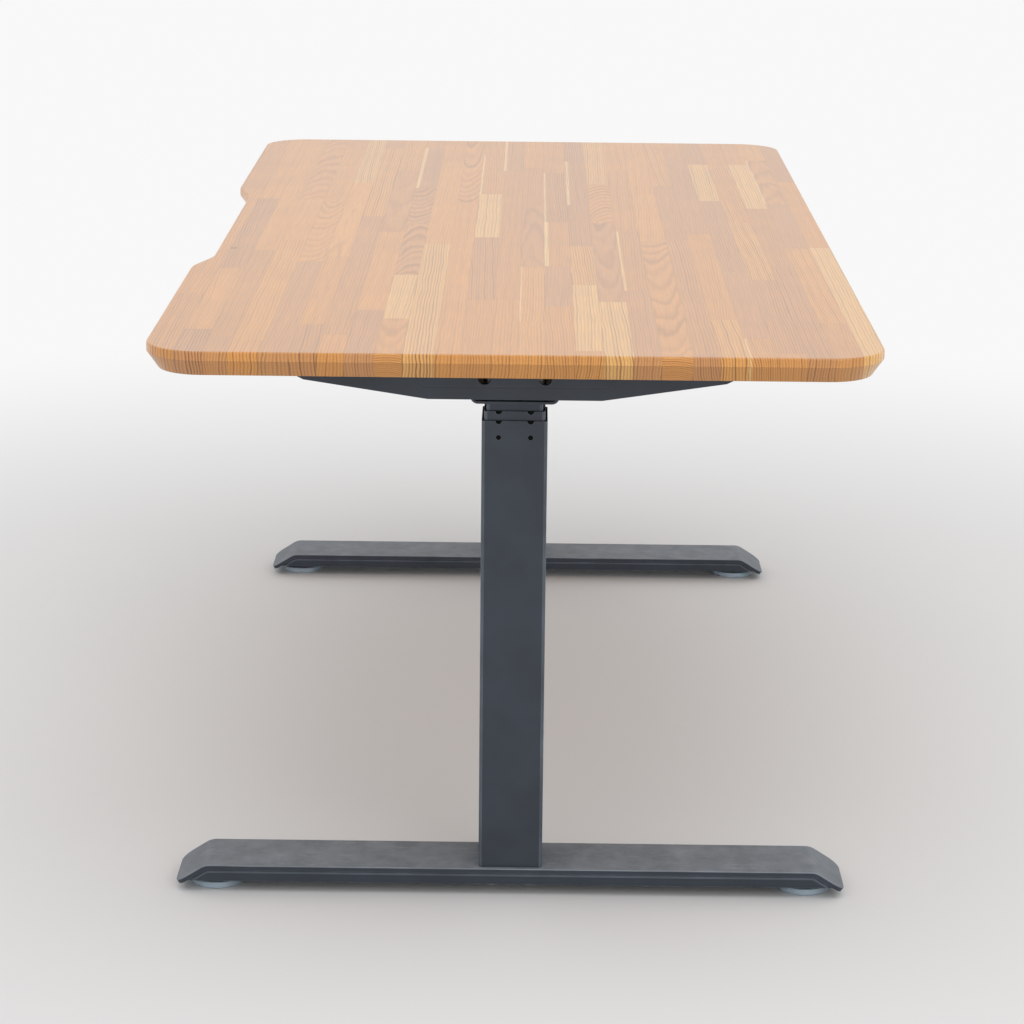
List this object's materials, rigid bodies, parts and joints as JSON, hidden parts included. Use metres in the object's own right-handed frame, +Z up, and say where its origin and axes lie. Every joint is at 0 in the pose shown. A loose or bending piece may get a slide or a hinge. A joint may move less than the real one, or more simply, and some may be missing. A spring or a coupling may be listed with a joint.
{
  "type": "height adjustable standing desk",
  "caption": "Electric sit-stand desk: a solid stave-glued wood worktop with a rear cable notch on telescoping lifting columns with flat bent-plate feet and levelling glides.",
  "frame": {"origin": "on the floor under the middle of the worktop, with the desk at its lowest height", "axes": "+Z up; X along the worktop's length, with the left leg at -X; the user sits on the -Y side and the cable notch is in the +Y edge"},
  "size_m": [1.524, 0.762, 0.6325],
  "materials": {
    "powder_coat": "matte dark slate powder coat",
    "zinc_steel": "bright zinc plating",
    "screw_steel": "rolled and oiled steel",
    "bronze": "machined bronze",
    "glide_plastic": "pale translucent moulded nylon",
    "guide_plastic": "black moulded acetal",
    "cast_aluminium": "die cast, as cast",
    "motor_can": "black electrocoat",
    "wood": "edge-glued staves under satin varnish",
    "box_plastic": "black moulded ABS, fine spark texture",
    "keypad_plastic": "dark grey moulded ABS",
    "window": "smoked acrylic"
  },
  "bodies": {
    "left_base": {"left_foot_plate": "powder_coat", "left_foot_channel": "powder_coat", "left_foot_bolts": "zinc_steel", "left_outer_tube": "powder_coat", "left_outer_guides": "guide_plastic", "left_leg_base": "zinc_steel", "left_lower_nut": "bronze"},
    "left_middle": {"left_middle_tube": "powder_coat", "left_middle_guides": "guide_plastic", "left_carrier_tube": "zinc_steel", "left_screw_bearing": "screw_steel"},
    "left_hollow_screw_body": {"left_hollow_screw": "screw_steel"},
    "left_drive_screw_body": {"left_drive_screw": "screw_steel"},
    "left_front_glide_body": {"left_front_glide": "glide_plastic"},
    "left_rear_glide_body": {"left_rear_glide": "glide_plastic"},
    "right_base": {"right_foot_plate": "powder_coat", "right_foot_channel": "powder_coat", "right_foot_bolts": "zinc_steel", "right_outer_tube": "powder_coat", "right_outer_guides": "guide_plastic", "right_leg_base": "zinc_steel", "right_lower_nut": "bronze"},
    "right_middle": {"right_middle_tube": "powder_coat", "right_middle_guides": "guide_plastic", "right_carrier_tube": "zinc_steel", "right_screw_bearing": "screw_steel"},
    "right_hollow_screw_body": {"right_hollow_screw": "screw_steel"},
    "right_drive_screw_body": {"right_drive_screw": "screw_steel"},
    "right_front_glide_body": {"right_front_glide": "glide_plastic"},
    "right_rear_glide_body": {"right_rear_glide": "glide_plastic"},
    "down_button_body": {"down_button": "keypad_plastic"},
    "up_button_body": {"up_button": "keypad_plastic"},
    "memory_button_1_body": {"memory_button_1": "keypad_plastic"},
    "memory_button_2_body": {"memory_button_2": "keypad_plastic"},
    "memory_button_3_body": {"memory_button_3": "keypad_plastic"},
    "top": {"left_inner_tube": "powder_coat", "left_head_bracket": "powder_coat", "left_side_bracket": "powder_coat", "left_front_crossbar": "powder_coat", "left_rear_crossbar": "powder_coat", "left_gearbox": "cast_aluminium", "left_motor": "motor_can", "right_inner_tube": "powder_coat", "right_head_bracket": "powder_coat", "right_side_bracket": "powder_coat", "right_front_crossbar": "powder_coat", "right_rear_crossbar": "powder_coat", "right_gearbox": "cast_aluminium", "right_motor": "motor_can", "front_inner_bar": "powder_coat", "rear_inner_bar": "powder_coat", "crossbar_bolts": "zinc_steel", "desktop_screws": "zinc_steel", "desktop": "wood", "control_box_base": "box_plastic", "control_box_lid": "box_plastic", "mains_inlet": "box_plastic", "keypad_housing": "box_plastic", "keypad_face": "keypad_plastic", "display_window": "window"}
  },
  "joints": [
    {"name": "lift", "type": "slide", "parent": "left_base", "child": "left_middle", "axis": [0, 0, 1], "range_m": [0, 0.325]},
    {"name": "left_upper_stage", "type": "slide", "parent": "left_middle", "child": "top", "axis": [0, 0, 1], "range_m": [0, 0.325]},
    {"name": "right_upper_stage", "type": "slide", "parent": "top", "child": "right_middle", "axis": [0, 0, -1], "range_m": [0, 0.325]},
    {"name": "right_lower_stage", "type": "slide", "parent": "right_middle", "child": "right_base", "axis": [0, 0, -1], "range_m": [0, 0.325]},
    {"name": "left_hollow_screw_turn", "type": "hinge", "parent": "left_middle", "child": "left_hollow_screw_body", "pos_m": [-0.617, 0, 0.3], "axis": [0, 0, 1], "range_deg": [0, 14625]},
    {"name": "left_drive_screw_turn", "type": "hinge", "parent": "top", "child": "left_drive_screw_body", "pos_m": [-0.617, 0, 0.3], "axis": [0, 0, 1], "range_deg": [0, 29250]},
    {"name": "right_hollow_screw_turn", "type": "hinge", "parent": "right_middle", "child": "right_hollow_screw_body", "pos_m": [0.617, 0, 0.3], "axis": [0, 0, 1], "range_deg": [0, 14625]},
    {"name": "right_drive_screw_turn", "type": "hinge", "parent": "top", "child": "right_drive_screw_body", "pos_m": [0.617, 0, 0.3], "axis": [0, 0, 1], "range_deg": [0, 29250]},
    {"name": "left_front_glide_screw", "type": "slide", "parent": "left_base", "child": "left_front_glide_body", "axis": [0, 0, -1], "range_m": [0, 0.008]},
    {"name": "left_rear_glide_screw", "type": "slide", "parent": "left_base", "child": "left_rear_glide_body", "axis": [0, 0, -1], "range_m": [0, 0.008]},
    {"name": "right_front_glide_screw", "type": "slide", "parent": "right_base", "child": "right_front_glide_body", "axis": [0, 0, -1], "range_m": [0, 0.008]},
    {"name": "right_rear_glide_screw", "type": "slide", "parent": "right_base", "child": "right_rear_glide_body", "axis": [0, 0, -1], "range_m": [0, 0.008]},
    {"name": "down_button_press", "type": "slide", "parent": "top", "child": "down_button_body", "axis": [0, 1, 0], "range_m": [0, 0.001], "stiffness_N_per_m": 600},
    {"name": "up_button_press", "type": "slide", "parent": "top", "child": "up_button_body", "axis": [0, 1, 0], "range_m": [0, 0.001], "stiffness_N_per_m": 600},
    {"name": "memory_button_1_press", "type": "slide", "parent": "top", "child": "memory_button_1_body", "axis": [0, 1, 0], "range_m": [0, 0.001], "stiffness_N_per_m": 600},
    {"name": "memory_button_2_press", "type": "slide", "parent": "top", "child": "memory_button_2_body", "axis": [0, 1, 0], "range_m": [0, 0.001], "stiffness_N_per_m": 600},
    {"name": "memory_button_3_press", "type": "slide", "parent": "top", "child": "memory_button_3_body", "axis": [0, 1, 0], "range_m": [0, 0.001], "stiffness_N_per_m": 600}
  ],
  "couplings": [
    {"joint": "left_upper_stage", "follows": "lift", "ratio": 1},
    {"joint": "right_upper_stage", "follows": "lift", "ratio": 1},
    {"joint": "right_lower_stage", "follows": "lift", "ratio": 1},
    {"joint": "left_hollow_screw_turn", "follows": "lift", "rad_per_m": 785.4},
    {"joint": "left_drive_screw_turn", "follows": "lift", "rad_per_m": 1570.8},
    {"joint": "right_hollow_screw_turn", "follows": "lift", "rad_per_m": 785.4},
    {"joint": "right_drive_screw_turn", "follows": "lift", "rad_per_m": 1570.8}
  ]
}
